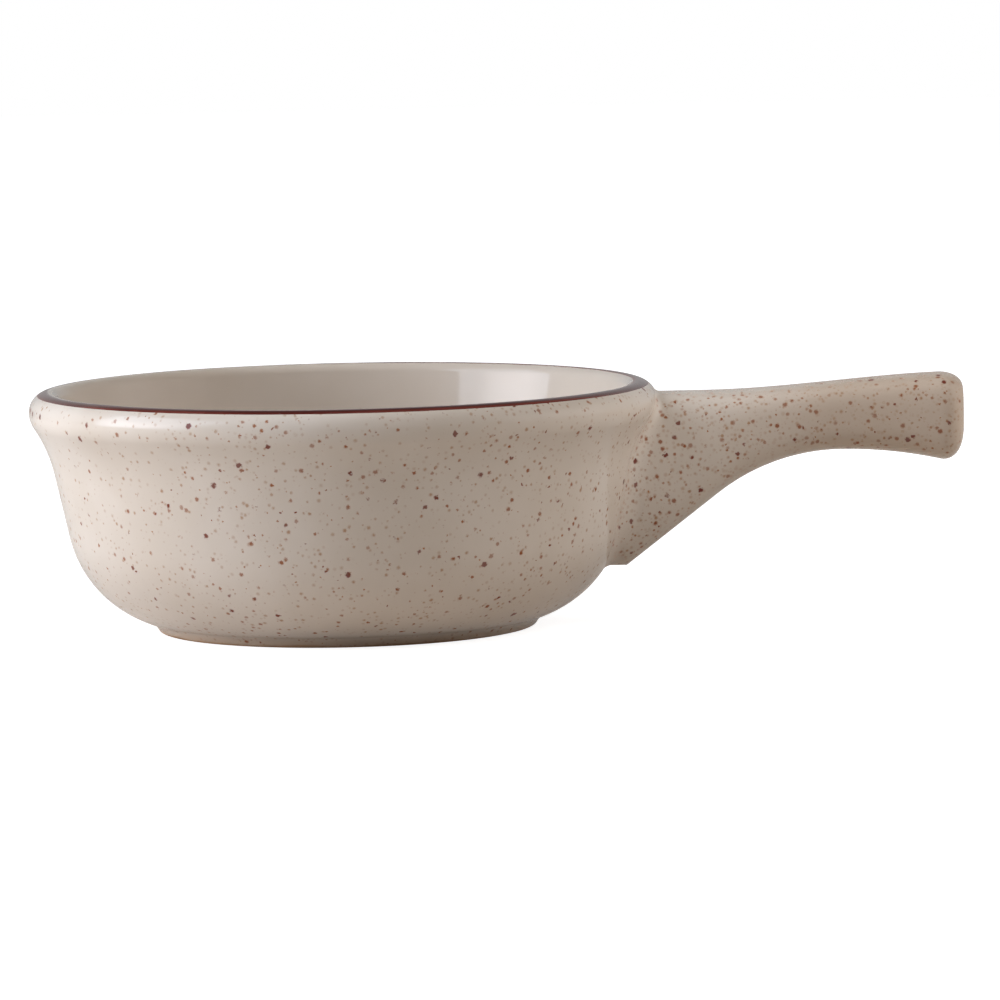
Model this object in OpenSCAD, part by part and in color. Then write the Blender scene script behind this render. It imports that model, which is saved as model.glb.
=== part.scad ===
// Single-handled stoneware casserole dish: a glazed round bowl with a brown line on its rim
// and a solid stick handle that braces down the wall. Millimetres.
// The origin is on the bowl's axis, on the table. +X runs out along the handle and +Z is up.

/* [Bowl] */
// Outside diameter at the lip
lip_d = 140; // [120:1:180]
// Height from the table to the crown of the rim
dish_h = 54; // [48:0.5:70]
// Thickness of the side wall
wall_t = 5; // [3.5:0.25:7]
// Thickness of the floor
floor_t = 5.5; // [4:0.25:8]
// Lean of the side wall from upright, in degrees
wall_tilt = 12.2; // [8:0.2:18]
// Outside radius between the wall and the base
base_r = 26; // [20:0.5:30]
// Angle below level at which that radius meets the foot, in degrees
base_turn = 74; // [64:0.5:82]
// Inside radius between the wall and the floor
well_r = 20; // [14:0.5:25]

/* [Rim] */
// Radius of the lip's outer edge
lip_roll_r = 4.4; // [3.2:0.1:5.4]
// Radius of the bulge under the lip's widest line
lip_under_r = 6.2; // [4.5:0.1:10]
// Lean of the steepest part of the flare under the lip, in degrees
flare_tilt = 33; // [26:0.5:38]
// Radius of the hollow that runs from the flare into the wall
flare_r = 31; // [24:0.5:40]
// Outer edge of the brown line, in degrees above level on the lip
band_out = 56; // [15:1:70]
// Inner edge of the brown line, in degrees past the crown
band_in = 20; // [2:1:40]

/* [Foot] */
// Outside diameter of the foot where it stands on the table
foot_d = 85; // [72:1:92]
// Height of the foot
foot_h = 2; // [1.5:0.1:4]
// Width of the ring that stands on the table
foot_w = 5; // [3.5:0.25:8]
// Inward lean of the foot's inner side over its height
foot_draft = 0.8; // [0.4:0.1:1.5]

/* [Handle] */
// Length from the lip's edge to the handle's end
handle_l = 67.9; // [58:0.1:90]
// Drop from the crown of the rim to the handle's top at the bowl
handle_drop = 2.8; // [2:0.1:5]
// Rise of the handle's top from the bowl to its end
handle_rise = 3.1; // [1:0.1:6]
// Distance from the lip to where the top starts to rise
rise_l = 11; // [4:0.5:20]
// Distance from the lip to the neck, the handle's thinnest place
neck_l = 40.5; // [36:0.5:48]
// Depth of the handle at the neck, from top to underside
neck_t = 15.2; // [12:0.1:20]
// Width of the handle at the neck
neck_w = 19; // [15:0.5:24]
// Width of the handle at its end
end_w = 23; // [17:0.5:28]
// Width of the handle where it meets the bowl
root_w = 22; // [17:0.5:28]
// Slope of the brace under the handle, in degrees
brace_tilt = 37.4; // [30:0.2:44]
// Radius that runs from the brace into the neck
brace_r = 45; // [34:0.5:52]
// Radius of the underside from the neck to the end
grip_r = 98; // [80:1:160]
// Height of the brace's lowest point above the table
root_z = 12.6; // [9:0.2:18]
// Radius round the handle's end
end_r = 5.2; // [3:0.1:6.5]
// Share of the end's rounding moved from the top to the underside
end_skew = 0.45; // [0:0.05:0.7]
// Squareness of the handle's section, where 2 is an ellipse
section_power = 3; // [2.2:0.1:4]

/* [Glaze] */
// Thickness of every glaze coat
glaze_t = 0.5; // [0.3:0.05:0.6]
// Thickness of the clay slip that joins the handle to the bowl
slip_t = 0.8; // [0.7:0.05:1.2]

/* [Hidden] */

$fn = 128;
arc_step = 6;         // degrees of arc between the points of a profile
handle_rings = 26;    // sections along the handle
end_rings = 5;        // sections round the handle's end
handle_sides = 32;    // points round each section

lip_r = lip_d / 2;
floor_z = foot_h + floor_t;

// Centres of the profile's arcs, from the lip down the outside
roll_c = [lip_r - lip_roll_r, dish_h - lip_roll_r];
under_c = [lip_r - lip_under_r, roll_c[1]];
flare_c = under_c + (lip_under_r + flare_r) * [cos(flare_tilt), -sin(flare_tilt)];
wall_top = flare_c + flare_r * [-cos(wall_tilt), sin(wall_tilt)];
base_z = foot_h + base_r * sin(base_turn);
base_c = [wall_r(base_z) - base_r / cos(wall_tilt), base_z];

// Centres of the arcs inside: the rim's inner edge and the well
edge_r = (roll_c[0] - inner_r(dish_h)) / (1 / cos(wall_tilt) - tan(wall_tilt));
edge_c = [roll_c[0], dish_h - edge_r];
well_z = floor_z + well_r;
well_c = [inner_r(well_z) - well_r / cos(wall_tilt), well_z];

// Foot
foot_out = foot_d / 2;
foot_in = foot_out - foot_w;
foot_join = base_c[0] + base_r * cos(base_turn);
foot_side = max(foot_out, foot_join);
under_r = foot_in - foot_draft;
flat_r = min(under_r, foot_join - foot_draft);

// Handle: distances from the bowl's axis
handle_end = lip_r + handle_l;
end_x = handle_end - end_r;
neck_x = lip_r + neck_l;
rise_x = lip_r + rise_l;
root_x = base_c[0];
neck_z = top_z(neck_x) - neck_t;
brace_run = brace_r * sin(brace_tilt);

// Straight part of the wall at height z: outside radius and inside radius
function wall_r(z) = wall_top[0] + tan(wall_tilt) * (z - wall_top[1]);
function inner_r(z) = wall_r(z) - wall_t / cos(wall_tilt);

// Lists of points: an arc, a list without its first point, a list turned round
function arc(c, r, a0, a1) =
    let (n = ceil(abs(a1 - a0) / arc_step))
    [for (i = [0:n]) let (a = a0 + (a1 - a0) * i / n) c + r * [cos(a), sin(a)]];
function rest(list) = [for (i = [1:len(list) - 1]) list[i]];
function flip(list) = [for (i = [len(list) - 1:-1:0]) list[i]];

// Profiles at depth d under the finished surface: down the outside, over the rim, down the inside
function outer_path(d) = concat(
    arc(roll_c, lip_roll_r - d, band_out, 0),
    rest(arc(under_c, lip_under_r - d, 0, -flare_tilt)),
    rest(arc(flare_c, flare_r + d, 180 - flare_tilt, 180 - wall_tilt)),
    arc(base_c, base_r - d, -wall_tilt, -base_turn));
function rim_path(d) = concat(
    arc(edge_c, edge_r - d, 90 + band_in, 90),
    rest(arc(roll_c, lip_roll_r - d, 90, band_out)));
function inner_path(d) = concat(
    arc(edge_c, edge_r - d, 90 + band_in, 180 - wall_tilt),
    arc(well_c, well_r + d, -wall_tilt, -90),
    [[0, floor_z - d]]);

// Handle's lines, seen from the side and from above, at distance x from the axis
function ease(t) = let (u = max(0, min(1, t))) u * u * (3 - 2 * u);
function top_z(x) = dish_h - handle_drop + handle_rise * ease((x - rise_x) / (handle_end - rise_x));
function sag(r, v) = r - sqrt(r * r - v * v);
function brace_z(v) = v <= brace_run ? neck_z - sag(brace_r, v)
    : max(root_z, neck_z - sag(brace_r, brace_run) - (v - brace_run) * tan(brace_tilt));
function under_z(x) = x >= neck_x ? neck_z - sag(grip_r, x - neck_x) : brace_z(neck_x - x);
function handle_w(x) = neck_w
    + (root_w - neck_w) * ease((neck_x - x) / (neck_x - lip_r))
    + (end_w - neck_w) * ease((x - neck_x) / (handle_end - neck_x));

// One section of the handle at distance x, drawn in by inset all round and raised by lift
function power(v) = sign(v) * pow(abs(v), 2 / section_power);
function section(x, inset, lift = 0) =
    let (half_w = handle_w(x) / 2 - inset,
         half_h = (top_z(x) - under_z(x)) / 2 - inset,
         mid_z = (top_z(x) + under_z(x)) / 2 + lift)
    [for (k = [0:handle_sides - 1])
        let (a = 360 * k / handle_sides)
        [x, half_w * power(cos(a)), mid_z + half_h * power(sin(a))]];

// Sections at depth d: along the handle, then round its end
function handle_points(d) = concat(
    [for (i = [0:handle_rings])
        each section(root_x - d + (end_x - root_x + d) * i / handle_rings, d)],
    [for (i = [1:end_rings])
        let (a = 90 * i / end_rings)
        each section(end_x + (end_r - d) * sin(a), end_r - (end_r - d) * cos(a),
                     end_skew * end_r * (1 - cos(a)))]);

// Solid of the handle at depth d, running on inside the bowl
module handle_form(d) {
    points = handle_points(d);
    s = handle_sides;
    rings = len(points) / s;
    sides = [for (i = [0:rings - 2], k = [0:s - 1])
        let (a = i * s + k, b = i * s + (k + 1) % s)
        each [[a, b + s, b], [a, a + s, b + s]]];
    root_face = [for (k = [0:s - 1]) k];
    end_face = [for (k = [s - 1:-1:0]) (rings - 1) * s + k];
    polyhedron(points, concat(sides, [root_face, end_face]));
}

// Solid inside the bowl's outside surface at depth d, with no hollow
module outside_form(d) {
    outline = concat(rest(rim_path(d)), rest(outer_path(d)));
    rotate_extrude()
        polygon(concat([[0, outline[0][1]]], outline, [[0, outline[len(outline) - 1][1]]]));
}

// Ring of outside coat between two depths
module outside_coat(d0, d1) {
    rotate_extrude()
        polygon(concat(outer_path(d0), flip(outer_path(d1))));
}

// Clay body of the bowl
module bowl() {
    color("wheat")
        rotate_extrude()
            polygon(concat(
                flip(inner_path(glaze_t)),
                rest(rim_path(glaze_t)),
                rest(outer_path(glaze_t)),
                [[foot_join, foot_h], [flat_r, foot_h], [flat_r, foot_h + glaze_t],
                 [0, foot_h + glaze_t]]));
}

// Bare clay ring that stands on the table, cut to the bowl's base
module foot_ring() {
    color("burlywood")
        difference() {
            rotate_extrude()
                polygon([[foot_in, 0], [foot_out, 0], [foot_side, foot_h],
                         [foot_side, base_z], [under_r, base_z], [under_r, foot_h]]);
            outside_form(0);
        }
}

// Clay body of the handle, cut to the bowl's wall
module handle() {
    color("wheat")
        difference() {
            handle_form(glaze_t);
            outside_form(glaze_t - slip_t);
        }
}

// Thin bed of slip between the handle and the wall
module luting_slip() {
    color("tan")
        intersection() {
            handle_form(glaze_t);
            outside_coat(glaze_t - slip_t, glaze_t);
        }
}

// Speckled coat on the bowl's outside, open where the handle is joined on
module outer_glaze() {
    color("linen")
        difference() {
            outside_coat(0, glaze_t);
            handle_form(glaze_t);
        }
}

// Plain coat inside the bowl
module liner_glaze() {
    color("ivory")
        rotate_extrude()
            polygon(concat(inner_path(0), flip(inner_path(glaze_t))));
}

// Brown line over the crown of the rim
module rim_band() {
    color("saddlebrown")
        rotate_extrude()
            polygon(concat(rim_path(0), flip(rim_path(glaze_t))));
}

// Speckled coat on the handle
module handle_glaze() {
    color("linen")
        difference() {
            handle_form(0);
            handle_form(glaze_t);
            outside_form(0);
        }
}

// Plain coat on the underside, within the foot
module base_glaze() {
    color("ivory")
        translate([0, 0, foot_h])
            cylinder(r = flat_r, h = glaze_t);
}

bowl();
foot_ring();
handle();
luting_slip();
outer_glaze();
liner_glaze();
rim_band();
handle_glaze();
base_glaze();
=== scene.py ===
# %% [markdown]
# # A stick-handled casserole dish in speckled stoneware
# The real dish is one firing of clay: a round bowl with a rolled lip, a solid handle stuck to its
# wall with slip, and a skin of glossy glaze over everything but the face that stands on the table.
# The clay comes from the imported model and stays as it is. This lesson makes the skin that a viewer
# sees: every glaze coat, the foot, their finishes, and a small studio to look at them in.

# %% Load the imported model
from math import atan2, cos, pi, radians, sin, sqrt, tan

import bmesh
import bpy
import numpy as np
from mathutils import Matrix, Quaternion, Vector


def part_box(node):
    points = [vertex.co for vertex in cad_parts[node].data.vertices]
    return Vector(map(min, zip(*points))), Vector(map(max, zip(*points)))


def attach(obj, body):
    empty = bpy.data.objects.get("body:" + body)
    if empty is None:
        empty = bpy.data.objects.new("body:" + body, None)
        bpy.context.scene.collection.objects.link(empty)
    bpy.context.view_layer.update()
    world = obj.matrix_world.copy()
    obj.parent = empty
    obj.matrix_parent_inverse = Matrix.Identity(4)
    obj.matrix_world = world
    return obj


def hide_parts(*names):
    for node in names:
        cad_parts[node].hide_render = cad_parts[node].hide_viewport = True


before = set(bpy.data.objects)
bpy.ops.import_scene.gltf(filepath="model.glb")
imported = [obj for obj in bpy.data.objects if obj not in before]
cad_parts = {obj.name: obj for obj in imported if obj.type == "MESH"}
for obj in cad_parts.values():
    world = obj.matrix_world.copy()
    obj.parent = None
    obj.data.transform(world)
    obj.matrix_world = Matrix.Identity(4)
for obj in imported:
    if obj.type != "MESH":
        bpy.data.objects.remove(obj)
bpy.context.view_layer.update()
print("nodes:", sorted(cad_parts))

# %% [markdown]
# ## Sizes
# A pot is described by its profile, the line that a potter's rib follows. Here that line is a chain
# of arcs that run into each other: over the lip, round the bulge under it, through the hollow flare
# to the straight wall, and round the base to the foot. The outer sizes are read from the model, and
# the radii and slopes are the ones that it was built with, so both surfaces are the same.

# %% Driving sizes, in metres and radians
MM = 0.001
lip_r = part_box("outer_glaze")[1].y
dish_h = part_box("rim_band")[1].z
handle_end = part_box("handle_glaze")[1].x
foot_out = 42.5 * MM
foot_w = 5 * MM
foot_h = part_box("base_glaze")[0].z
under_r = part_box("base_glaze")[1].y
glaze_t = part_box("base_glaze")[1].z - foot_h

wall_t = 5 * MM
floor_z = 7.5 * MM
wall_tilt = radians(12.2)
base_r = 26 * MM
base_turn = radians(74)
well_r = 20 * MM
lip_roll_r = 4.4 * MM
lip_under_r = 6.2 * MM
flare_tilt = radians(33)
flare_r = 31 * MM
band_out = radians(56)
band_in = radians(20)
print(f"lip radius {lip_r / MM:.2f}, height {dish_h / MM:.2f}, handle ends at {handle_end / MM:.2f} mm")

# %% Centres of the profile's arcs
roll_c = (lip_r - lip_roll_r, dish_h - lip_roll_r)
under_c = (lip_r - lip_under_r, roll_c[1])
flare_c = (under_c[0] + (lip_under_r + flare_r) * cos(flare_tilt),
           under_c[1] - (lip_under_r + flare_r) * sin(flare_tilt))
wall_top = (flare_c[0] - flare_r * cos(wall_tilt), flare_c[1] + flare_r * sin(wall_tilt))


def wall_r(z):
    """Outside radius of the straight wall at height z."""
    return wall_top[0] + tan(wall_tilt) * (z - wall_top[1])


def inner_r(z):
    """Inside radius of the straight wall at height z."""
    return wall_r(z) - wall_t / cos(wall_tilt)


base_z = foot_h + base_r * sin(base_turn)
base_c = (wall_r(base_z) - base_r / cos(wall_tilt), base_z)
edge_r = (roll_c[0] - inner_r(dish_h)) / (1 / cos(wall_tilt) - tan(wall_tilt))
edge_c = (roll_c[0], dish_h - edge_r)
well_z = floor_z + well_r
well_c = (inner_r(well_z) - well_r / cos(wall_tilt), well_z)
base_end = base_c[0] + base_r * cos(base_turn)
print(f"wall meets the flare at {wall_top[1] / MM:.1f} mm, base meets the foot at {base_end / MM:.1f} mm")

# %% [markdown]
# ## Camera
# The dish is seen from the side of its handle, a little above the table, through a long lens from
# well back, so its two ends look the same size. The camera also leans by about a degree, which
# lifts the handle's end. A long lens far away is set here by its distance, and the lean by a turn
# about the camera's own axis.

# %% Camera
view_aim = Vector((0.0345, 0, 0.02756))
view_distance = 1.5137
view_rise = radians(5.51)
view_lean = radians(-1.156)
lens_mm = 244.1
sensor_mm = 36

cam_data = bpy.data.cameras.new("camera")
cam_data.lens = lens_mm
cam_data.sensor_width = sensor_mm
cam = bpy.data.objects.new("camera", cam_data)
cam.location = view_aim + view_distance * Vector((0, -cos(view_rise), sin(view_rise)))
look = (view_aim - cam.location).to_track_quat("-Z", "Y")
cam.rotation_euler = (look @ Quaternion((0, 0, 1), view_lean)).to_euler()
bpy.context.scene.collection.objects.link(cam)
bpy.context.scene.camera = cam
bpy.context.scene.view_settings.view_transform = "Standard"
print("camera at", [round(c, 3) for c in cam.location])

# %% [markdown]
# ## Node helpers
# Every finish below is a tree of nodes, and each node takes several lines when it is placed by hand.
# One helper adds a node and fills its sockets, and the others are short names for the nodes that come
# up most. A socket that is given another node's output is linked, and any other value is typed into
# it.

# %% Helpers for nodes
# Places of the colour sockets on a Mix node, whose names repeat
MIX_FACTOR, MIX_FIRST, MIX_SECOND, MIX_RESULT = 0, 6, 7, 2


def put(tree, kind, inputs=None, **settings):
    """Adds a node to a tree, with its settings, and fills or links its inputs by name or number."""
    node = tree.nodes.new(kind)
    for name, value in settings.items():
        setattr(node, name, value)
    for key, value in (inputs or {}).items():
        if isinstance(value, bpy.types.NodeSocket):
            tree.links.new(value, node.inputs[key])
        else:
            node.inputs[key].default_value = value
    return node


def maths(tree, operation, a, b=0.0, c=0.0):
    """One Math node's output."""
    return put(tree, "ShaderNodeMath", {0: a, 1: b, 2: c}, operation=operation).outputs[0]


def vectors(tree, operation, inputs):
    """One Vector Math node's outputs."""
    return put(tree, "ShaderNodeVectorMath", inputs, operation=operation).outputs


def split_axes(tree, vector):
    """The X, Y and Z of a vector."""
    return put(tree, "ShaderNodeSeparateXYZ", {0: vector}).outputs


def ramp_between(tree, value, low, high, to_low=0.0, to_high=1.0):
    """A smooth step from to_low to to_high as value goes from low to high."""
    step = put(tree, "ShaderNodeMapRange", {"Value": value, "From Min": low, "From Max": high,
                                            "To Min": to_low, "To Max": to_high},
               interpolation_type="SMOOTHSTEP")
    return step.outputs["Result"]


def mix_colour(tree, factor, first, second):
    """A mix of two colours, where factor 0 gives the first."""
    mixed = put(tree, "ShaderNodeMix", {MIX_FACTOR: factor, MIX_FIRST: first, MIX_SECOND: second},
                data_type="RGBA")
    return mixed.outputs[MIX_RESULT]


def noise(tree, place, per_metre, detail, roughness=0.5):
    """Noise with the given number of lumps in a metre."""
    return put(tree, "ShaderNodeTexNoise", {"Vector": place, "Scale": per_metre, "Detail": detail,
                                            "Roughness": roughness}).outputs


print("node helpers ready")

# %% Helpers for groups and materials
FLOAT, VECTOR, WHOLE = "NodeSocketFloat", "NodeSocketVector", "NodeSocketInt"
GEOMETRY, MATERIAL = "NodeSocketGeometry", "NodeSocketMaterial"


def start_group(name, inputs, outputs, kind="ShaderNodeTree"):
    """A node group with named sockets; returns its tree, what it is given and what it makes."""
    tree = bpy.data.node_groups.new(name, kind)
    for label, socket in inputs:
        tree.interface.new_socket(label, in_out="INPUT", socket_type=socket)
    for label, socket in outputs:
        tree.interface.new_socket(label, in_out="OUTPUT", socket_type=socket)
    return tree, tree.nodes.new("NodeGroupInput").outputs, tree.nodes.new("NodeGroupOutput").inputs


def use_group(tree, group, inputs):
    """Places a group in a tree and fills its inputs; returns its outputs."""
    return put(tree, "ShaderNodeGroup", inputs, node_tree=group).outputs


def start_material(name):
    """A plain material; returns it, its tree, its shader and the place on the piece."""
    material = bpy.data.materials.new(name)
    material.use_nodes = True
    tree = material.node_tree
    shader = tree.nodes["Principled BSDF"]
    place = tree.nodes.new("ShaderNodeTexCoord").outputs["Object"]
    return material, tree, shader, place


def dress_shader(tree, shader, colour, roughness, height):
    """Feeds a shader its colour and its roughness, and bumps it by a height in metres."""
    bump = put(tree, "ShaderNodeBump", {"Height": height, "Distance": 1.0})
    tree.links.new(colour, shader.inputs["Base Color"])
    tree.links.new(roughness, shader.inputs["Roughness"])
    tree.links.new(bump.outputs["Normal"], shader.inputs["Normal"])


print("group and material helpers ready")

# %% [markdown]
# ## Speckle
# Iron grains in the clay melt up through the glaze as the kiln gets hot, and each leaves a brown
# dot. The dots are the sizes of grains and fall anywhere, so a cell pattern with one random point
# in each cell gives them: a cell keeps its dot if its own random number is under a share. A painted
# picture would stretch over the lip, but this pattern fills space, so the dots stay round on every
# curve. It is turned off the dish's axes, so that no row of dots shows. The same group serves for
# bold, rusty and faint dots, with other spacings.

# %% Group: one layer of specks


def build_speck_layer():
    """Specks of one kind: a mask, a random tone for each speck, and how big its grain was."""
    tree, given, made = start_group(
        "speck_layer",
        [("Place", VECTOR), ("Spacing", FLOAT), ("Size", FLOAT), ("Share", FLOAT), ("Softness", FLOAT)],
        [("Mask", FLOAT), ("Tone", FLOAT), ("Grain", FLOAT)])
    cells_turn = (0.6, 1.0, 0.4)
    wobble_per_spacing = 5.0
    wobble_reach = 0.30
    least_growth = 0.4
    growth_power = 2.0
    per_metre = maths(tree, "DIVIDE", 1.0, given["Spacing"])
    turned = put(tree, "ShaderNodeVectorRotate", {"Vector": given["Place"], "Rotation": cells_turn},
                 rotation_type="EULER_XYZ").outputs[0]
    wobble = noise(tree, turned, maths(tree, "MULTIPLY", per_metre, wobble_per_spacing), 1.0)
    centred = vectors(tree, "SUBTRACT", {0: wobble["Color"], 1: (0.5, 0.5, 0.5)})
    reach = maths(tree, "MULTIPLY", given["Spacing"], wobble_reach)
    shift = vectors(tree, "SCALE", {0: centred[0], "Scale": reach})
    moved = vectors(tree, "ADD", {0: turned, 1: shift[0]})
    cells = put(tree, "ShaderNodeTexVoronoi", {"Vector": moved[0], "Scale": per_metre}).outputs
    keep, grain, tone = put(tree, "ShaderNodeSeparateColor", {"Color": cells["Color"]}).outputs
    kept = maths(tree, "LESS_THAN", keep, given["Share"])
    growth = maths(tree, "ADD", maths(tree, "POWER", grain, growth_power), least_growth)
    radius = maths(tree, "MULTIPLY", given["Size"], growth)
    core = maths(tree, "MULTIPLY", radius, maths(tree, "SUBTRACT", 1.0, given["Softness"]))
    radius_in_cells = maths(tree, "MULTIPLY", radius, per_metre)
    core_in_cells = maths(tree, "MULTIPLY", core, per_metre)
    dot = ramp_between(tree, cells["Distance"], core_in_cells, radius_in_cells, 1.0, 0.0)
    tree.links.new(maths(tree, "MULTIPLY", dot, kept), made["Mask"])
    tree.links.new(tone, made["Tone"])
    tree.links.new(grain, made["Grain"])
    return tree


speck_layer = build_speck_layer()
print("group:", speck_layer.name)

# %% [markdown]
# ## Ripple
# Glaze is glass that ran and froze. Its surface is smooth to a finger and still not flat: it rolls
# over a centimetre or so, and has a faint orange-peel skin. Its colour clouds a little too, where
# it lies thicker. Every glaze on the dish shares these, so they are a group of their own.

# %% Group: ripple and cloud of a glaze


def build_glaze_ripple():
    """Height of the glaze's surface in metres, and a slow cloud of tone from 0 to 1."""
    tree, given, made = start_group(
        "glaze_ripple",
        [("Place", VECTOR), ("Roll", FLOAT), ("Peel", FLOAT)],
        [("Height", FLOAT), ("Cloud", FLOAT)])
    rolls_per_metre = 75.0
    peel_per_metre = 900.0
    clouds_per_metre = 38.0
    cloud_detail, cloud_roughness = 3.0, 0.55
    cloud_low, cloud_high = 0.3, 0.7
    roll = noise(tree, given["Place"], rolls_per_metre, 1.0)["Fac"]
    peel = noise(tree, given["Place"], peel_per_metre, 1.0)["Fac"]
    cloud = noise(tree, given["Place"], clouds_per_metre, cloud_detail, cloud_roughness)["Fac"]
    rolled = maths(tree, "MULTIPLY", roll, given["Roll"])
    peeled = maths(tree, "MULTIPLY", peel, given["Peel"])
    tree.links.new(maths(tree, "ADD", rolled, peeled), made["Height"])
    tree.links.new(ramp_between(tree, cloud, cloud_low, cloud_high), made["Cloud"])
    return tree


glaze_ripple = build_glaze_ripple()
print("group:", glaze_ripple.name)

# %% [markdown]
# ## Speckled glaze
# The outside and the handle wear a cream glaze full of specks. Bold dark ones are about a
# millimetre across and several millimetres apart, rusty ones are smaller and closer, and a haze of
# tan ones lies between. Three textures could make them, but one group placed three times keeps them
# alike. The handle's specks crowd more. The bowl has fewer at the end away from the handle, where the
# key light falls: a painted highlight that stands for specks washed out by its glare. The glaze lies
# thin low on the foot, where tan clay shows through. Towards the handle's end it browns and darkens:
# partly thinner glaze, partly painted shade for the light that falls off along the stick. At the
# very edge of the foot it is wiped off, so that the dish doesn't stick to the kiln shelf.

# %% Colours and places of the speckled glaze
CREAM = (0.72, 0.625, 0.535, 1)
CREAM_WARM = (0.67, 0.57, 0.475, 1)
PINK_SPECK = (0.55, 0.39, 0.285, 1)
TAN_SPECK = (0.45, 0.26, 0.15, 1)
ORANGE_SPECK = (0.46, 0.195, 0.07, 1)
RUST_SPECK = (0.28, 0.075, 0.022, 1)
DARK_SPECK = (0.17, 0.022, 0.010, 1)
THIN_GLAZE = (0.57, 0.40, 0.265, 1)
WIPED_CLAY = (0.47, 0.29, 0.165, 1)

# Each layer: spacing and size in mm, softness at the edge, faintest cover, small and big grains
SPECK_LAYERS = {
    "haze": (1.30, 0.52, 0.75, 0.35, PINK_SPECK, TAN_SPECK),
    "rust": (1.90, 0.55, 0.60, 0.60, ORANGE_SPECK, RUST_SPECK),
    "bold": (3.40, 0.64, 0.45, 0.85, RUST_SPECK, DARK_SPECK),
}
SPECK_SINK = 0.02 * MM
SPECK_DULLING = 0.16
BOWL_ROUGHNESS, HANDLE_ROUGHNESS, WIPED_ROUGHNESS = 0.10, 0.22, 0.85

# Heights on the foot, and stretches along the dish, over which the glaze changes
edge_wander = 0.6 * MM
wiped_z = (0.5 * MM, 1.0 * MM)
thin_z, thin_foot = (0.6 * MM, 3.2 * MM), 0.65
# Along the handle the glaze browns towards its end: partly thinner glaze, partly painted shade for light
# falling off along the stick
handle_thin_glaze_and_shade_x, handle_thin_glaze_and_shade = (74 * MM, 120 * MM), 0.55
# Fewer specks at the key-lit end away from the handle: painted highlight standing for specks washed out by
# glare
glare_sparse_x, glare_sparse_share = (-66 * MM, -20 * MM), 0.5
print("layers of specks:", list(SPECK_LAYERS))

# %% Material: speckled glaze


def add_specks(tree, place, colour, shares, crowding, richness):
    """Lays the layers of specks over a colour; returns it, and how much specks cover."""
    all_specks = 0.0
    for layer, (spacing, size, softness, faintest, small, big) in SPECK_LAYERS.items():
        share = maths(tree, "MULTIPLY", shares[layer], richness)
        specks = use_group(tree, speck_layer, {"Place": place, "Spacing": spacing * crowding * MM,
                                               "Size": size * MM, "Share": share, "Softness": softness})
        depth = maths(tree, "MULTIPLY_ADD", specks["Tone"], 1.0 - faintest, faintest)
        cover = maths(tree, "MULTIPLY", specks["Mask"], depth)
        grain = mix_colour(tree, specks["Grain"], small, big)
        rusty = mix_colour(tree, specks["Mask"], small, grain)
        colour = mix_colour(tree, cover, colour, rusty)
        all_specks = maths(tree, "MAXIMUM", all_specks, cover)
    return colour, all_specks


def speckled_glaze(name, shares, crowding, on_bowl):
    """Cream glaze whose layers of specks each keep a share of their dots, spaced closer by crowding."""
    material, tree, shader, place = start_material(name)
    ripple = use_group(tree, glaze_ripple, {"Place": place, "Roll": 0.10 * MM, "Peel": 0.002 * MM})
    axes = split_axes(tree, place)
    if on_bowl:
        ragged_z = maths(tree, "MULTIPLY_ADD", ripple["Cloud"], edge_wander, axes["Z"])
        thin = ramp_between(tree, ragged_z, *thin_z, thin_foot, 0.0)
        # Painted highlight: fewer specks where the key light falls, away from the handle
        richness = ramp_between(tree, axes["X"], *glare_sparse_x, glare_sparse_share, 1.0)
        roughness = BOWL_ROUGHNESS
    else:
        # Painted shade, partly thinner glaze: the handle darkens and browns towards its end
        thin = ramp_between(tree, axes["X"], *handle_thin_glaze_and_shade_x, 0.0, handle_thin_glaze_and_shade)
        richness = 1.0
        roughness = HANDLE_ROUGHNESS
    cream = mix_colour(tree, ripple["Cloud"], CREAM, CREAM_WARM)
    glaze = mix_colour(tree, thin, cream, THIN_GLAZE)
    colour, specks = add_specks(tree, place, glaze, shares, crowding, richness)
    gloss = maths(tree, "MULTIPLY_ADD", specks, SPECK_DULLING, roughness)
    if on_bowl:
        wiped = ramp_between(tree, ragged_z, *wiped_z, 1.0, 0.0)
        colour = mix_colour(tree, wiped, colour, WIPED_CLAY)
        gloss = ramp_between(tree, wiped, 0.0, 1.0, gloss, WIPED_ROUGHNESS)
    height = maths(tree, "MULTIPLY_ADD", specks, -SPECK_SINK, ripple["Height"])
    dress_shader(tree, shader, colour, gloss, height)
    return material


bowl_speckle = speckled_glaze("speckled_glaze_bowl", {"haze": 0.95, "rust": 0.70, "bold": 0.80},
                              crowding=1.0, on_bowl=True)
handle_speckle = speckled_glaze("speckled_glaze_handle", {"haze": 1.0, "rust": 0.75, "bold": 0.65},
                                crowding=0.72, on_bowl=False)
print("materials:", bowl_speckle.name, handle_speckle.name)

# %% [markdown]
# ## Plain glaze
# Inside, where food touches it, the glaze has no specks. It is the same glossy cream with a slow
# cloud of tone. The underside within the foot wears it too.

# %% Material: plain glaze
LINER = (0.61, 0.52, 0.435, 1)
LINER_WARM = (0.58, 0.485, 0.395, 1)
LINER_ROUGHNESS, LINER_WARM_ROUGHNESS = 0.03, 0.06


def plain_glaze():
    """Glossy cream glaze with a cloud of tone and a faint ripple."""
    material, tree, shader, place = start_material("plain_glaze")
    ripple = use_group(tree, glaze_ripple, {"Place": place, "Roll": 0.05 * MM, "Peel": 0.002 * MM})
    colour = mix_colour(tree, ripple["Cloud"], LINER, LINER_WARM)
    gloss = ramp_between(tree, ripple["Cloud"], 0.0, 1.0, LINER_ROUGHNESS, LINER_WARM_ROUGHNESS)
    dress_shader(tree, shader, colour, gloss, ripple["Height"])
    return material


liner_finish = plain_glaze()
print("material:", liner_finish.name)
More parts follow.
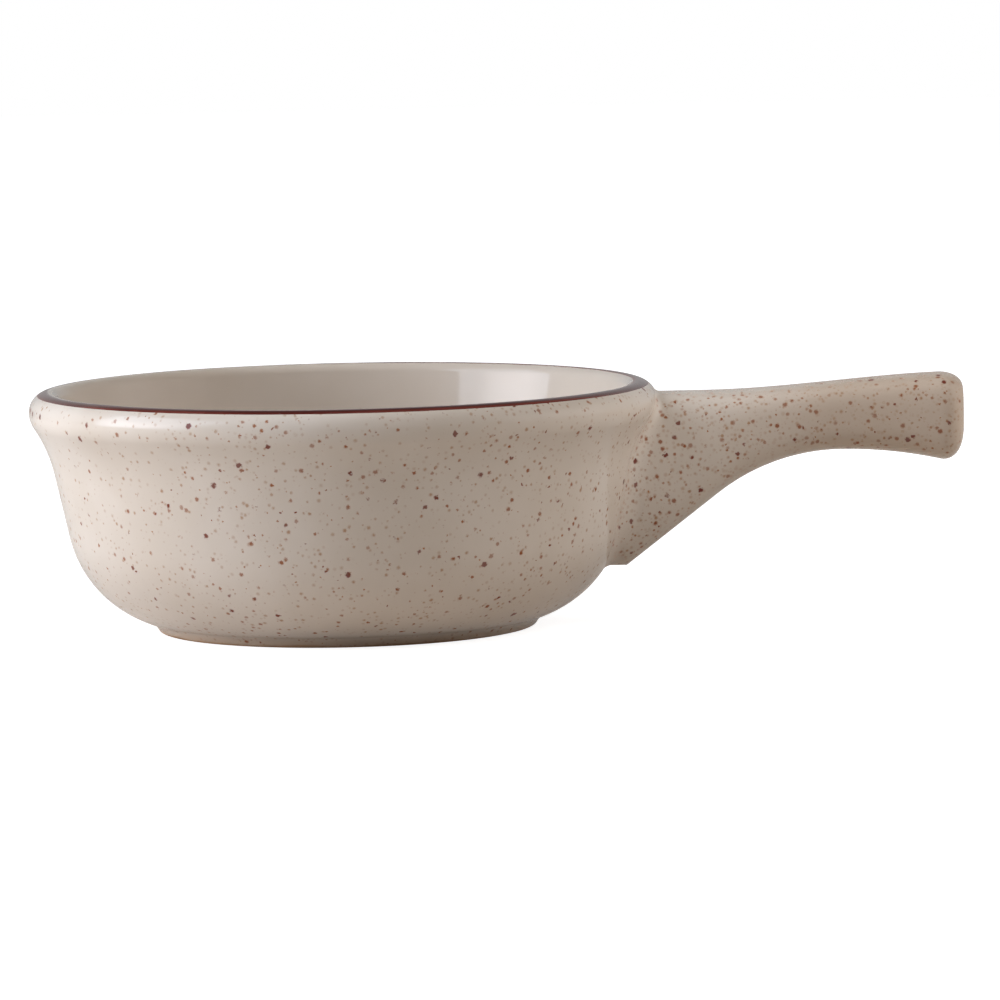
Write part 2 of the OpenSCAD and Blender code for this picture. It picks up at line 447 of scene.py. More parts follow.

# %% [markdown]
# ## Brown line
# The rim carries a brown line, banded on with a brush while the dish turned. It is darkest along its
# middle, where the brush lay, and thins to red-brown at both edges, a little more here and a little
# less there. Away from the handle and along the near side its inner edge turns to the liner's cream.
# Along the near side that narrows the line; on the far rim away from the handle the pale edge is a
# painted reflection of the white studio that the crown mirrors there. The line could be cut narrower,
# but a finish fades more softly than an edge does. The distance from the bowl's axis tells where a
# point lies across the line.

# %% Material: brown line
BROWN_CORE = (0.075, 0.011, 0.008, 1)
BROWN_THIN = (0.19, 0.045, 0.030, 1)
THIN_ROUGHNESS, CORE_ROUGHNESS = 0.18, 0.12
brush_wander = 0.7 * MM
soft_inside, soft_outside, soft_pale_edge = 1.3 * MM, 0.7 * MM, 0.65 * MM
pale_edge_most, pale_edge_least = 1.0 * MM, -0.3 * MM
pale_edge_x = (-66 * MM, 75 * MM)
pale_edge_y = (-30 * MM, -5 * MM)


def brown_glaze():
    """Dark brown glaze that thins to red-brown at its edges and turns to cream at its inner edge away from
    the handle and on the near side, a painted reflection on the far rim.
    """
    material, tree, shader, place = start_material("brown_glaze")
    ripple = use_group(tree, glaze_ripple, {"Place": place, "Roll": 0.06 * MM, "Peel": 0.004 * MM})
    axes = split_axes(tree, place)
    flat = vectors(tree, "MULTIPLY", {0: place, 1: (1, 1, 0)})
    radius = vectors(tree, "LENGTH", {0: flat[0]})["Value"]
    wander = maths(tree, "MULTIPLY_ADD", ripple["Cloud"], brush_wander, radius)
    inner = edge_c[0] - edge_r * sin(band_in)
    outer = roll_c[0] + lip_roll_r * cos(band_out)
    from_inside = ramp_between(tree, wander, inner, inner + soft_inside)
    from_outside = ramp_between(tree, wander, outer - soft_outside, outer + soft_outside, 1.0, 0.0)
    middle = maths(tree, "MULTIPLY", from_inside, from_outside)
    brown = mix_colour(tree, middle, BROWN_THIN, BROWN_CORE)
    # Cream at the inner edge, away from the handle and on the near side: on the far rim this is a painted
    # reflection
    pale_away = ramp_between(tree, axes["X"], *pale_edge_x, pale_edge_most, pale_edge_least)
    pale_near = ramp_between(tree, axes["Y"], *pale_edge_y, pale_edge_most, pale_edge_least)
    pale_reach = maths(tree, "SUBTRACT", wander, maths(tree, "MAXIMUM", pale_away, pale_near))
    pale_edge = ramp_between(tree, pale_reach, inner, inner + soft_pale_edge, 1.0, 0.0)
    colour = mix_colour(tree, pale_edge, brown, LINER)
    gloss = ramp_between(tree, middle, 0.0, 1.0, THIN_ROUGHNESS, CORE_ROUGHNESS)
    dress_shader(tree, shader, colour, gloss, ripple["Height"])
    return material


rim_finish = brown_glaze()
print("material:", rim_finish.name)

# %% [markdown]
# ## Bare clay
# Under the glaze is fired stoneware: tan, matt and a little sandy, with grains of lighter and darker
# clay. The clay of the bowl and the handle and the slip that joins them are made of the same stuff,
# so one function gives both finishes, with a finer grain for the slip.

# %% Material: bare clay
STAINS_PER_METRE = 60.0
CLAY_TONES = (0.12, 0.40)
SAND_TONES = (0.2, 0.8)
CLAY_ROUGHNESS = (0.75, 0.95)
SAND_HEIGHT = 0.12 * MM
GRIT_COVER = 0.6


def bare_clay(name, pale, dark, grain):
    """Matt fired clay with a sandy grain of the given size."""
    material, tree, shader, place = start_material(name)
    sand = noise(tree, place, 1.0 / grain, 4.0)["Fac"]
    stain = noise(tree, place, STAINS_PER_METRE, 2.0)["Fac"]
    tone = ramp_between(tree, maths(tree, "MULTIPLY", sand, stain), *CLAY_TONES)
    clay = mix_colour(tree, tone, dark, pale)
    grit = use_group(tree, speck_layer, {"Place": place, "Spacing": 1.8 * MM, "Size": 0.25 * MM,
                                         "Share": 0.5, "Softness": 0.5})
    colour = mix_colour(tree, maths(tree, "MULTIPLY", grit["Mask"], GRIT_COVER), clay, RUST_SPECK)
    matt = ramp_between(tree, sand, *SAND_TONES, *CLAY_ROUGHNESS)
    dress_shader(tree, shader, colour, matt, maths(tree, "MULTIPLY", sand, SAND_HEIGHT))
    return material


clay_finish = bare_clay("stoneware", (0.42, 0.31, 0.21, 1), (0.33, 0.23, 0.15, 1), 0.9 * MM)
slip_finish = bare_clay("slip", (0.38, 0.28, 0.19, 1), (0.30, 0.21, 0.14, 1), 0.4 * MM)
print("materials:", clay_finish.name, slip_finish.name)

# %% [markdown]
# ## Lathe
# Everything round on the dish is a profile spun about its axis. Geometry Nodes can be the lathe: the
# profile is a short chain of points, a flat grid has a column for each of them and a row for each
# step of the turn, and every point of the grid is sent to its profile point, turned by its row. The
# first and last rows then meet and are merged, and so are the points that lie on the axis. A Screw
# modifier spins a line too, but one tree serves all the round pieces, open or closed, and dresses
# them in the same go.

# %% Geometry Nodes: the lathe
MEETING_POINTS = 1e-6


def build_lathe():
    """A tree that spins a chain of points in the XZ plane about Z."""
    tree, given, made = start_group(
        "lathe",
        [("Profile", GEOMETRY), ("Closed", WHOLE), ("Steps", WHOLE), ("Finish", MATERIAL)],
        [("Piece", GEOMETRY)], kind="GeometryNodeTree")

    def whole(operation, a, b):
        return put(tree, "FunctionNodeIntegerMath", {0: a, 1: b}, operation=operation).outputs[0]

    domain = put(tree, "GeometryNodeAttributeDomainSize", {"Geometry": given["Profile"]})
    count = domain.outputs["Point Count"]
    rows = whole("ADD", given["Steps"], 1)
    grid = put(tree, "GeometryNodeMeshGrid", {"Vertices X": whole("ADD", count, given["Closed"]),
                                              "Vertices Y": rows})
    index = tree.nodes.new("GeometryNodeInputIndex").outputs[0]
    column = whole("MODULO", whole("DIVIDE_FLOOR", index, rows), count)
    row = whole("MODULO", index, rows)
    position = tree.nodes.new("GeometryNodeInputPosition").outputs[0]
    on_profile = put(tree, "GeometryNodeSampleIndex", {"Geometry": given["Profile"], "Value": position,
                                                       "Index": column}, data_type="FLOAT_VECTOR")
    turn = maths(tree, "MULTIPLY", maths(tree, "DIVIDE", row, given["Steps"]), 2 * pi)
    turned = put(tree, "ShaderNodeVectorRotate", {"Vector": on_profile.outputs[0], "Angle": turn},
                 rotation_type="Z_AXIS")
    spun = put(tree, "GeometryNodeSetPosition", {"Geometry": grid.outputs["Mesh"],
                                                 "Position": turned.outputs[0]})
    merged = put(tree, "GeometryNodeMergeByDistance", {"Geometry": spun.outputs[0],
                                                       "Distance": MEETING_POINTS})
    real = put(tree, "GeometryNodeRealizeInstances", {"Geometry": merged.outputs[0]})
    dressed = put(tree, "GeometryNodeSetMaterial", {"Geometry": real.outputs[0],
                                                    "Material": given["Finish"]})
    tree.links.new(dressed.outputs[0], made["Piece"])
    return tree


lathe = build_lathe()
lathe_socket = {item.name: item.identifier for item in lathe.interface.items_tree}
print("lathe inputs:", sorted(lathe_socket))

# %% Helpers: finish a mesh, and spin a profile
SHARP_EDGE = radians(35)
SPIN_STEPS = 256


def settle_mesh(mesh):
    """Points the faces outwards and shades them smooth, except over sharp edges."""
    work = bmesh.new()
    work.from_mesh(mesh)
    bmesh.ops.recalc_face_normals(work, faces=work.faces)
    work.to_mesh(mesh)
    work.free()
    mesh.shade_smooth()
    mesh.set_sharp_from_angle(angle=SHARP_EDGE)


def bake_modifiers(obj):
    """Turns an object's evaluated shape into its plain mesh."""
    shape = obj.evaluated_get(bpy.context.evaluated_depsgraph_get())
    mesh = bpy.data.meshes.new_from_object(shape)
    obj.modifiers.clear()
    obj.data = mesh
    return mesh


def add_object(name, points, edges=(), faces=(), finish=None):
    """A mesh object from points, edges and faces."""
    mesh = bpy.data.meshes.new(name)
    mesh.from_pydata(points, edges, faces)
    if finish:
        mesh.materials.append(finish)
    obj = bpy.data.objects.new(name, mesh)
    bpy.context.scene.collection.objects.link(obj)
    return obj


def spin(name, profile, closed, finish):
    """A piece turned on the lathe from a list of (radius, height) points."""
    obj = add_object(name, [(r, 0, z) for r, z in profile], [(i, i + 1) for i in range(len(profile) - 1)])
    turning = obj.modifiers.new("lathe", "NODES")
    turning.node_group = lathe
    turning[lathe_socket["Closed"]] = int(closed)
    turning[lathe_socket["Steps"]] = SPIN_STEPS
    turning[lathe_socket["Finish"]] = finish
    settle_mesh(bake_modifiers(obj))
    print(f"{name}: {len(obj.data.polygons)} faces")
    return obj


def stand_for(piece, node):
    """Dresses a node of the model with a piece, on the dish's only body."""
    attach(piece, "root")
    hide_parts(node)


print("mesh helpers ready,", SPIN_STEPS, "steps to a turn")

# %% [markdown]
# ## Glaze coats of the bowl
# Each coat is a thin shell: its profile runs along the finished surface and comes back half a
# millimetre deeper, on the clay. Solidify could thicken a surface too, but the two lines give the
# coats square edges that meet each other. Arcs are cut into short steps, so the lip rolls smoothly
# and the light on it slides without a break.

# %% Profiles of the bowl
ARC_STEP = radians(2.5)
OUTER_WALL_POINTS, INNER_WALL_POINTS, FLOOR_POINTS, UNDERSIDE_POINTS = 4, 5, 6, 5


def arc(centre, radius, start, end):
    """Points along an arc, from one angle to another."""
    count = max(2, round(abs(end - start) / ARC_STEP))
    angles = [start + (end - start) * i / count for i in range(count + 1)]
    return [(centre[0] + radius * cos(a), centre[1] + radius * sin(a)) for a in angles]


def straight(start, end, count):
    """Points between two others, without the ends."""
    shares = [(i + 1) / (count + 1) for i in range(count)]
    return [(start[0] + (end[0] - start[0]) * s, start[1] + (end[1] - start[1]) * s) for s in shares]


def outer_path(depth):
    """From the brown line down the outside to the foot."""
    flare = arc(flare_c, flare_r + depth, pi - flare_tilt, pi - wall_tilt)
    base = arc(base_c, base_r - depth, -wall_tilt, -base_turn)
    return (arc(roll_c, lip_roll_r - depth, band_out, 0)
            + arc(under_c, lip_under_r - depth, 0, -flare_tilt)[1:]
            + flare[1:] + straight(flare[-1], base[0], OUTER_WALL_POINTS) + base)


def rim_path(depth):
    """Over the crown of the rim, from the inside to the outside."""
    return (arc(edge_c, edge_r - depth, pi / 2 + band_in, pi / 2)
            + arc(roll_c, lip_roll_r - depth, pi / 2, band_out)[1:])


def inner_path(depth):
    """From the crown down the inside to the middle of the floor."""
    edge = arc(edge_c, edge_r - depth, pi / 2 + band_in, pi - wall_tilt)
    well = arc(well_c, well_r + depth, -wall_tilt, -pi / 2)
    middle = (0.0, floor_z - depth)
    return (edge + straight(edge[-1], well[0], INNER_WALL_POINTS)
            + well + straight(well[-1], middle, FLOOR_POINTS) + [middle])


def shell(path):
    """Section of a coat: a path along the finished surface, and back along the clay."""
    return path(0) + path(glaze_t)[::-1]


print("outside profile:", len(outer_path(0)), "points; inside profile:", len(inner_path(0)), "points")

# %% Liner and brown line
liner_coat = spin("liner_coat", shell(inner_path), True, liner_finish)
stand_for(liner_coat, "liner_glaze")

brown_rim = spin("brown_rim_line", shell(rim_path), True, rim_finish)
stand_for(brown_rim, "rim_band")

# %% [markdown]
# ## Foot and underside
# The foot is a low ring with a flat face to stand on. The bowl's base runs into it through a soft
# hollow, and the glaze runs down its side and stops just above the table. Fired edges are never
# knife-sharp, so both of its lower edges are rounded. The hollow is an arc of the circle that
# touches two others: the base's arc and the foot's rounded edge. Within the foot, the underside
# wears a disc of plain glaze whose edge pulls up into a small roll where it was wiped.

# %% Section of the foot
foot_in = foot_out - foot_w
foot_edge_r = 1.1 * MM
foot_inner_edge_r = 0.7 * MM
foot_hollow_r = 4.0 * MM
foot_bed_sink = 0.05 * MM
foot_edge_c = Vector((foot_out - foot_edge_r, foot_edge_r))


def foot_hollow_middle():
    """Middle of the circle that touches the base's arc and the foot's edge from outside."""
    base_middle = Vector(base_c)
    between = foot_edge_c - base_middle
    to_base = base_r + foot_hollow_r
    to_edge = foot_edge_r + foot_hollow_r
    along = (between.length_squared + to_base ** 2 - to_edge ** 2) / (2 * between.length)
    aside = sqrt(to_base ** 2 - along ** 2)
    way = between.normalized()
    return base_middle + way * along + Vector((-way.y, way.x)) * aside


def foot_profile():
    """Section of the foot: a bed along the base, the hollow, and two rounded lower edges."""
    middle = foot_hollow_middle()
    from_base, from_edge = middle - Vector(base_c), middle - foot_edge_c
    base_angle = atan2(from_base.y, from_base.x)
    edge_angle = atan2(from_edge.y, from_edge.x)
    bed = arc(base_c, base_r - foot_bed_sink, -base_turn, base_angle)
    hollow = arc(middle, foot_hollow_r, base_angle + pi, edge_angle + pi)
    outer = arc(foot_edge_c, foot_edge_r, edge_angle, -pi / 2)
    inner = arc((foot_in + foot_inner_edge_r, foot_inner_edge_r), foot_inner_edge_r, -pi / 2, -pi)
    return [(under_r, foot_h)] + bed[:-1] + hollow + outer[1:] + inner


def underside_profile():
    """Section of the underside's coat, from the axis to its rolled edge and back."""
    bottom, top = (0.0, foot_h), (0.0, foot_h + glaze_t)
    roll = arc((under_r - glaze_t / 2, foot_h + glaze_t / 2), glaze_t / 2, -pi / 2, pi / 2)
    return ([bottom] + straight(bottom, roll[0], UNDERSIDE_POINTS) + roll
            + straight(roll[-1], top, UNDERSIDE_POINTS) + [top])


print("foot section:", len(foot_profile()), "points")

# %% Foot ring and underside coat
bare_foot = spin("bare_foot", foot_profile(), True, bowl_speckle)
stand_for(bare_foot, "foot_ring")

underside_coat = spin("underside_coat", underside_profile(), False, liner_finish)
stand_for(underside_coat, "base_glaze")

# %% [markdown]
# ## Handle
# The handle is a solid stick with a squarish round section. Seen from the side, its top rises
# gently, its underside sweeps down to the bowl as a brace, and its end is rounded over. A bevelled
# curve would have one section all along, so a loft of sections follows those lines instead. Where
# it meets the bowl, glaze fills the crease, so each line along the stick turns out through a small
# hollow radius onto the bowl's wall. That radius is widest at the sides, and closes up along the top
# and at the brace's lower end.

# %% Lines of the handle
handle_root_w = 22 * MM
handle_neck_w = 19 * MM
handle_end_w = 23 * MM
handle_drop = 2.8 * MM
handle_rise = 3.1 * MM
rise_x = lip_r + 11 * MM
neck_x = lip_r + 40.5 * MM
neck_t = 15.2 * MM
brace_tilt = radians(37.4)
brace_r = 45 * MM
grip_r = 98 * MM
root_z = 12.6 * MM
end_r = 5.2 * MM
end_skew = 0.45
section_power = 3.0
end_x = handle_end - end_r


def ease(t):
    """A smooth step from 0 to 1."""
    u = np.clip(t, 0, 1)
    return u * u * (3 - 2 * u)


def sag(radius, v):
    """Drop of a circle's edge at distance v from its top."""
    return radius - np.sqrt(radius * radius - np.minimum(v * v, radius * radius))


def top_z(x):
    """Height of the handle's top at distance x from the bowl's axis."""
    return dish_h - handle_drop + handle_rise * ease((x - rise_x) / (handle_end - rise_x))


neck_z = top_z(neck_x) - neck_t
brace_run = brace_r * sin(brace_tilt)


def under_z(x):
    """Height of the handle's underside: the grip's arc, then the brace's arc and slope."""
    v = neck_x - x
    grip = neck_z - sag(grip_r, np.maximum(-v, 0))
    curve = neck_z - sag(brace_r, np.clip(v, 0, brace_run))
    slope = neck_z - sag(brace_r, brace_run) - (v - brace_run) * tan(brace_tilt)
    return np.where(v <= 0, grip, np.where(v <= brace_run, curve, np.maximum(slope, root_z)))


def handle_w(x):
    """Width of the handle, drawn in at the neck."""
    to_root = ease((neck_x - x) / (neck_x - lip_r))
    to_end = ease((x - neck_x) / (handle_end - neck_x))
    return handle_neck_w + (handle_root_w - handle_neck_w) * to_root + (handle_end_w - handle_neck_w) * to_end


print(f"above the table: neck {float(neck_z) / MM:.1f} mm, grip's end {float(under_z(end_x)) / MM:.1f} mm")

# %% Sections of the handle
SIDES = 128
around = np.linspace(0, 2 * pi, SIDES, endpoint=False)
across = np.sign(np.cos(around)) * np.abs(np.cos(around)) ** (2 / section_power)
upright = np.sign(np.sin(around)) * np.abs(np.sin(around)) ** (2 / section_power)


def section(x, inset=0.0, lift=0.0):
    """Points round the handle; x is one distance, or one for each point round the section."""
    x = np.broadcast_to(x, around.shape)
    half_w = handle_w(x) / 2 - inset
    half_h = (top_z(x) - under_z(x)) / 2 - inset
    middle = (top_z(x) + under_z(x)) / 2 + lift
    return np.stack([x, half_w * across, middle + half_h * upright], axis=1)


def section_normals(x):
    """Outward directions round the handle, across its length."""
    x = np.broadcast_to(x, around.shape)
    half_w = handle_w(x) / 2
    half_h = (top_z(x) - under_z(x)) / 2
    slope_y = np.sign(across) * np.abs(across) ** (section_power - 1) / half_w
    slope_z = np.sign(upright) * np.abs(upright) ** (section_power - 1) / half_h
    normals = np.stack([np.zeros(SIDES), slope_y, slope_z], axis=1)
    return normals / np.linalg.norm(normals, axis=1, keepdims=True)


print("section at the neck:", np.round(np.ptp(section(neck_x), axis=0) / MM, 1).tolist(), "mm")

# %% Distance from the bowl's wall
WALL_SAMPLES = 3000
RIM_POINTS_LEFT_OUT = 3
HALVINGS = 30


def dense_wall():
    """Points and outward normals along the bowl's outside, close together."""
    line = np.array(rim_path(0)[RIM_POINTS_LEFT_OUT:] + outer_path(0)[1:])
    steps = np.linalg.norm(np.diff(line, axis=0), axis=1)
    along = np.concatenate([[0], np.cumsum(steps)])
    fine = np.linspace(0, along[-1], WALL_SAMPLES)
    points = np.stack([np.interp(fine, along, line[:, 0]), np.interp(fine, along, line[:, 1])], axis=1)
    tangents = np.gradient(points, axis=0)
    normals = np.stack([-tangents[:, 1], tangents[:, 0]], axis=1)
    return points, normals / np.linalg.norm(normals, axis=1, keepdims=True)


wall_points, wall_normals = dense_wall()


def wall_gap(points):
    """Distance of each point outside the bowl's surface, and that surface's normal there."""
    radius = np.hypot(points[:, 0], points[:, 1])
    flat = np.stack([radius, points[:, 2]], axis=1)
    away = flat[:, None, :] - wall_points[None, :, :]
    nearest = np.argmin((away ** 2).sum(axis=2), axis=1)
    normal = wall_normals[nearest]
    gap = (away[np.arange(len(points)), nearest] * normal).sum(axis=1)
    turned = np.stack([normal[:, 0] * points[:, 0] / radius, normal[:, 0] * points[:, 1] / radius,
                       normal[:, 1]], axis=1)
    return gap, turned


def reach_wall(gap_wanted):
    """For each line along the handle, the distance x at which it stands gap_wanted off the wall."""
    near = np.full(SIDES, base_c[0])
    far = np.full(SIDES, neck_x)
    for _ in range(HALVINGS):
        x = (near + far) / 2
        gap, _ = wall_gap(section(x))
        near = np.where(gap < gap_wanted, x, near)
        far = np.where(gap < gap_wanted, far, x)
    return (near + far) / 2


outward = float(wall_normals[len(wall_normals) // 2][0])
print("wall normal points outwards:", outward > 0)

# %% Rings of the handle
crease_r = 4.2 * MM
crease_r_ends = 0.8 * MM
crease_sink = 0.04 * MM
CREASE_POWER_ABOVE, CREASE_POWER_BELOW = 1.5, 6.0
CREASE_RINGS, STICK_RINGS, END_RINGS, CAP_RINGS = 10, 64, 12, 5


def loft_handle():
    """Rings from the bowl's wall, through the crease and along the stick, to the middle of its end."""
    power = np.where(np.sin(around) > 0, CREASE_POWER_ABOVE, CREASE_POWER_BELOW)
    narrowing = np.abs(np.sin(around)) ** power
    radius = crease_r + (crease_r_ends - crease_r) * narrowing
    rings = []
    for i in range(CREASE_RINGS):
        a = pi / 2 * (1 - i / CREASE_RINGS)
        x = reach_wall(radius * (1 - sin(a)))
        ring = section(x) + section_normals(x) * (radius * (1 - cos(a)))[:, None]
        gap, normal = wall_gap(ring)
        sunk = crease_sink if i == 0 else 0.0
        rings.append(ring + normal * (radius * (1 - sin(a)) - sunk - gap)[:, None])
    start = reach_wall(radius)
    for i in range(STICK_RINGS):
        rings.append(section(start + (end_x - start) * i / STICK_RINGS))
    for i in range(END_RINGS + 1):
        a = pi / 2 * i / END_RINGS
        rings.append(section(end_x + end_r * sin(a), end_r * (1 - cos(a)), end_skew * end_r * (1 - cos(a))))
    last = rings[-1]
    middle = last.mean(axis=0)
    for i in range(1, CAP_RINGS):
        rings.append(middle + (last - middle) * (1 - i / CAP_RINGS))
    return rings, middle


def skin(rings, middle, root=None):
    """Points and faces over rings, closed at the end's middle and, if given, at the root's."""
    points = [tuple(p) for ring in rings for p in ring] + [tuple(middle)]
    tip = len(points) - 1
    faces = []
    for i in range(len(rings) - 1):
        for k in range(SIDES):
            a, b = i * SIDES + k, i * SIDES + (k + 1) % SIDES
            faces.append((a, b, b + SIDES, a + SIDES))
    last = (len(rings) - 1) * SIDES
    faces += [(last + k, last + (k + 1) % SIDES, tip) for k in range(SIDES)]
    if root is not None:
        points.append(tuple(root))
        faces += [((k + 1) % SIDES, k, tip + 1) for k in range(SIDES)]
    return points, faces


handle_points, handle_faces = skin(*loft_handle())
print("handle's surface:", len(handle_points), "points")

# %% Handle's coat
handle_coat = add_object("handle_coat", handle_points, faces=handle_faces, finish=handle_speckle)
settle_mesh(handle_coat.data)
wall = handle_coat.modifiers.new("wall", "SOLIDIFY")
wall.thickness = glaze_t
wall.offset = -1
bake_modifiers(handle_coat)
stand_for(handle_coat, "handle_glaze")
print("handle coat:", len(handle_coat.data.polygons), "faces")

# %% [markdown]
# ## Speckled coat of the bowl
# This is the largest surface. It is spun like the others, and then opened where the handle's clay
# passes through to the wall. A Boolean cuts it with the handle's own section, half a millimetre in,
# so the cut edge stays hidden under the crease.

# %% Outside coat, opened for the handle
CUT_STEPS = 40

speckled_coat = spin("speckled_coat", shell(outer_path), True, bowl_speckle)

cut_places = np.linspace(base_c[0], neck_x, CUT_STEPS + 1)
cut_rings = [section(x, glaze_t) for x in cut_places]
cut_points, cut_faces = skin(cut_rings, cut_rings[-1].mean(axis=0), cut_rings[0].mean(axis=0))
cutter = add_object("handle_cutter", cut_points, faces=cut_faces)
settle_mesh(cutter.data)
cut = speckled_coat.modifiers.new("opening", "BOOLEAN")
cut.operation = "DIFFERENCE"
cut.solver = "EXACT"
cut.object = cutter
settle_mesh(bake_modifiers(speckled_coat))
bpy.data.objects.remove(cutter)
stand_for(speckled_coat, "outer_glaze")
print("speckled coat:", len(speckled_coat.data.polygons), "faces")

# %% [markdown]
# ## Clay inside
# The bowl's clay, the handle's clay and the slip between them are the model's own solids. They lie
# under the coats and keep their shapes. They get the clay finish, so a section cut through the dish
# shows fired stoneware.

# %% Finish the clay
for node, finish in (("bowl", clay_finish), ("handle", clay_finish), ("luting_slip", slip_finish)):
    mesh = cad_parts[node].data
    mesh.materials.clear()
    mesh.materials.append(finish)
    print(node, "wears", finish.name)

# %% [markdown]
# ## Floor and air
# The dish stands on a white sheet in a white studio. A camera sees the sheet and the air as white,
# with the dish's shadow. The glaze mirrors a dimmer studio than that, so its edges stay the colour
# of clay. Lamps strong enough to make a sheet white would bleach the dish, so the light path splits
# the two: a camera sees a different world from the one that gloss sees. The sheet glows a little
# less close to the dish, where the shadow lies, and sends a weak warm bounce up to it.

# %% Floor and air
SHEET_GLOW = 0.88
SHEET_SHADE = (0.50, 0.50, 0.50, 1)
SHEET_BOUNCE = (0.62, 0.555, 0.49, 1)
SHEET_FILL = 0.04
SHEET_GLOSS = 0.16
OVERHEAD_LIGHT = 0.02
GLOSS_HORIZON = 0.42
GLOSS_OVERHEAD = 0.06
WHITE = (1, 1, 1, 1)
glow_near, glow_far = 0.10, 0.45
gloss_low, gloss_high = radians(20), radians(45)
half_sheet = 3.0


def split_rays(tree):
    """1 for rays straight from the camera, and 1 for rays off gloss or through glass."""
    path = tree.nodes.new("ShaderNodeLightPath").outputs
    return path["Is Camera Ray"], maths(tree, "MAXIMUM", path["Is Glossy Ray"], path["Is Transmission Ray"])


def sheet_material():
    """White to the eye, with the dish's shadow, dim in gloss, and a pale bounce to the dish."""
    material, tree, shader, spot = start_material("white_sheet")
    tree.nodes.remove(shader)
    to_eye, to_gloss = split_rays(tree)
    from_dish = vectors(tree, "LENGTH", {0: spot})["Value"]
    glow_here = ramp_between(tree, from_dish, glow_near, glow_far, SHEET_GLOW - SHEET_FILL, 1.0 - SHEET_FILL)
    seen = maths(tree, "MAXIMUM", maths(tree, "MULTIPLY", to_eye, glow_here),
                 maths(tree, "MULTIPLY", to_gloss, SHEET_GLOSS - SHEET_FILL))
    glow = put(tree, "ShaderNodeEmission", {"Color": WHITE, "Strength": maths(tree, "ADD", seen, SHEET_FILL)})
    paper = mix_colour(tree, to_eye, SHEET_BOUNCE, SHEET_SHADE)
    shade = put(tree, "ShaderNodeBsdfDiffuse", {"Color": paper})
    white = put(tree, "ShaderNodeAddShader", {0: glow.outputs[0], 1: shade.outputs[0]})
    tree.links.new(white.outputs[0], tree.nodes["Material Output"].inputs["Surface"])
    return material


def light_the_air():
    """White to the eye, pale low down and dim overhead in gloss, and a glow from overhead."""
    world = bpy.data.worlds.new("studio_air")
    bpy.context.scene.world = world
    world.use_nodes = True
    tree = world.node_tree
    to_eye, to_gloss = split_rays(tree)
    direction = tree.nodes.new("ShaderNodeTexCoord").outputs["Generated"]
    height = split_axes(tree, direction)["Z"]
    mirrored = ramp_between(tree, height, sin(gloss_low), sin(gloss_high), GLOSS_HORIZON, GLOSS_OVERHEAD)
    overhead = maths(tree, "MULTIPLY", maths(tree, "MAXIMUM", height, 0.0), OVERHEAD_LIGHT)
    dim = tree.nodes["Background"]
    dim.inputs["Color"].default_value = WHITE
    tree.links.new(overhead, dim.inputs["Strength"])
    gloss = put(tree, "ShaderNodeBackground", {"Color": WHITE, "Strength": mirrored})
    white = put(tree, "ShaderNodeBackground", {"Color": WHITE, "Strength": 1.0})
    lit = put(tree, "ShaderNodeMixShader", {0: to_gloss, 1: dim.outputs[0], 2: gloss.outputs[0]})
    either = put(tree, "ShaderNodeMixShader", {0: to_eye, 1: lit.outputs[0], 2: white.outputs[0]})
    tree.links.new(either.outputs[0], tree.nodes["World Output"].inputs["Surface"])


corners = [(-half_sheet, -half_sheet, 0), (half_sheet, -half_sheet, 0),
           (half_sheet, half_sheet, 0), (-half_sheet, half_sheet, 0)]
sheet = add_object("white_sheet", corners, faces=[(0, 1, 2, 3)], finish=sheet_material())
light_the_air()
print("studio floor and air ready")

# %% [markdown]
# ## Lamps
# The key comes from the left: a wide softbox that the glaze mirrors, with a brighter core low in it
# and a larger fill round it. A big pale card stands on the right, and a high box lights the dish from
# over it. The fill and the high box would each leave a patch on the glaze that the real dish doesn't
# have, so gloss doesn't see them. A narrow beam lifts the handle where it leaves the bowl. Each box
# fades to its edge, as cloth over a lamp does, so its reflection has no hard border.

# %% Lamps
bowl_aim = (0.02, 0, 0.03)
handle_aim = (0.077, -0.012, 0.049)
beam_softness = 0.02


def hang_lamp(name, lamp, place, aim):
    """Puts a lamp in the studio, facing a point on the dish."""
    obj = bpy.data.objects.new(name, lamp)
    obj.location = place
    obj.rotation_euler = (Vector(aim) - Vector(place)).to_track_quat("-Z", "Y").to_euler()
    bpy.context.scene.collection.objects.link(obj)
    print(name, "at", place)
    return obj


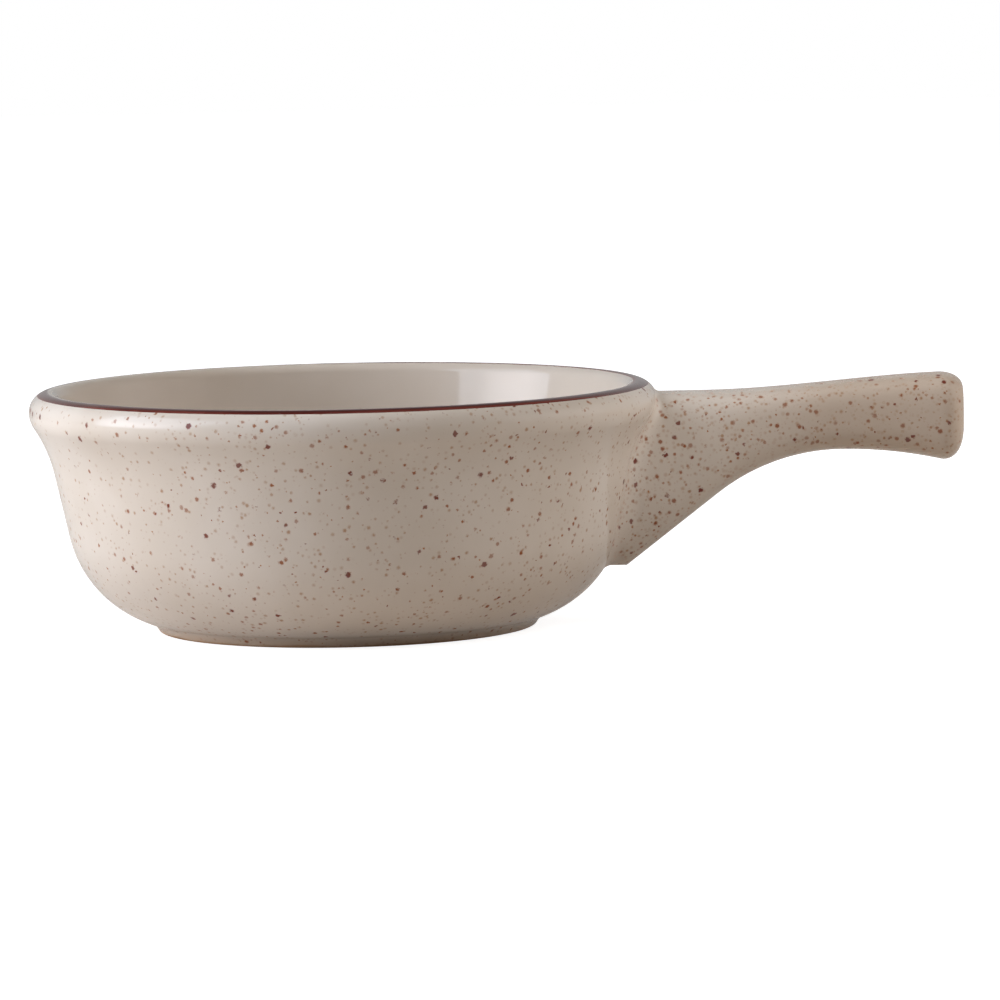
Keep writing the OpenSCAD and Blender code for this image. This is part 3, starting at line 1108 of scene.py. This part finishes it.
def softbox(name, place, width, height, watts, colour, core, mirrored=True):
    """A rectangular lamp, full inside its core and fading to its edge; gloss may or may not see it."""
    lamp = bpy.data.lights.new(name, "AREA")
    lamp.shape = "RECTANGLE"
    lamp.size = width
    lamp.size_y = height
    lamp.energy = watts
    lamp.color = colour
    lamp.use_nodes = True
    tree = lamp.node_tree
    cloth = tree.nodes.new("ShaderNodeNewGeometry").outputs["Parametric"]
    centred = vectors(tree, "MULTIPLY_ADD", {0: cloth, 1: (2, 2, 0), 2: (-1, -1, 0)})
    sides = split_axes(tree, vectors(tree, "ABSOLUTE", {0: centred[0]})[0])
    off_centre = maths(tree, "MAXIMUM", sides["X"], sides["Y"])
    fade = ramp_between(tree, off_centre, core, 1.0, 1.0, 0.0)
    tree.links.new(fade, tree.nodes["Emission"].inputs["Strength"])
    hang_lamp(name, lamp, place, bowl_aim).visible_glossy = mirrored


def snoot(name, place, aim, watts, cone):
    """A narrow soft-edged beam that leaves no spot of its own in the gloss."""
    lamp = bpy.data.lights.new(name, "SPOT")
    lamp.energy = watts
    lamp.spot_size = cone
    lamp.spot_blend = 1.0
    lamp.shadow_soft_size = beam_softness
    hang_lamp(name, lamp, place, aim).visible_glossy = False


# Each softbox: name, place, width and height, watts, colour, and how much of it is the full core
softbox("key_wide", (-0.75, -0.19, 0.40), 0.76, 0.80, 5.8, (0.78, 0.86, 1.0), 0.85)
softbox("key_fill", (-0.75, -0.10, 0.50), 1.15, 1.15, 12.4, (0.82, 0.89, 0.98), 0.5, mirrored=False)
softbox("key_core", (-0.74, -0.15, 0.22), 0.50, 0.42, 1.5, (1.0, 0.93, 0.93), 0.3)
softbox("card_right", (1.40, -0.05, 0.42), 1.90, 1.20, 4.4, (1.0, 0.94, 0.95), 0.2)
softbox("box_high", (1.05, -0.10, 0.95), 1.70, 1.30, 28.0, (1.0, 1.0, 1.0), 0.2, mirrored=False)
snoot("fill_front", (0.35, -1.00, 0.40), handle_aim, 7.5, radians(3.4))
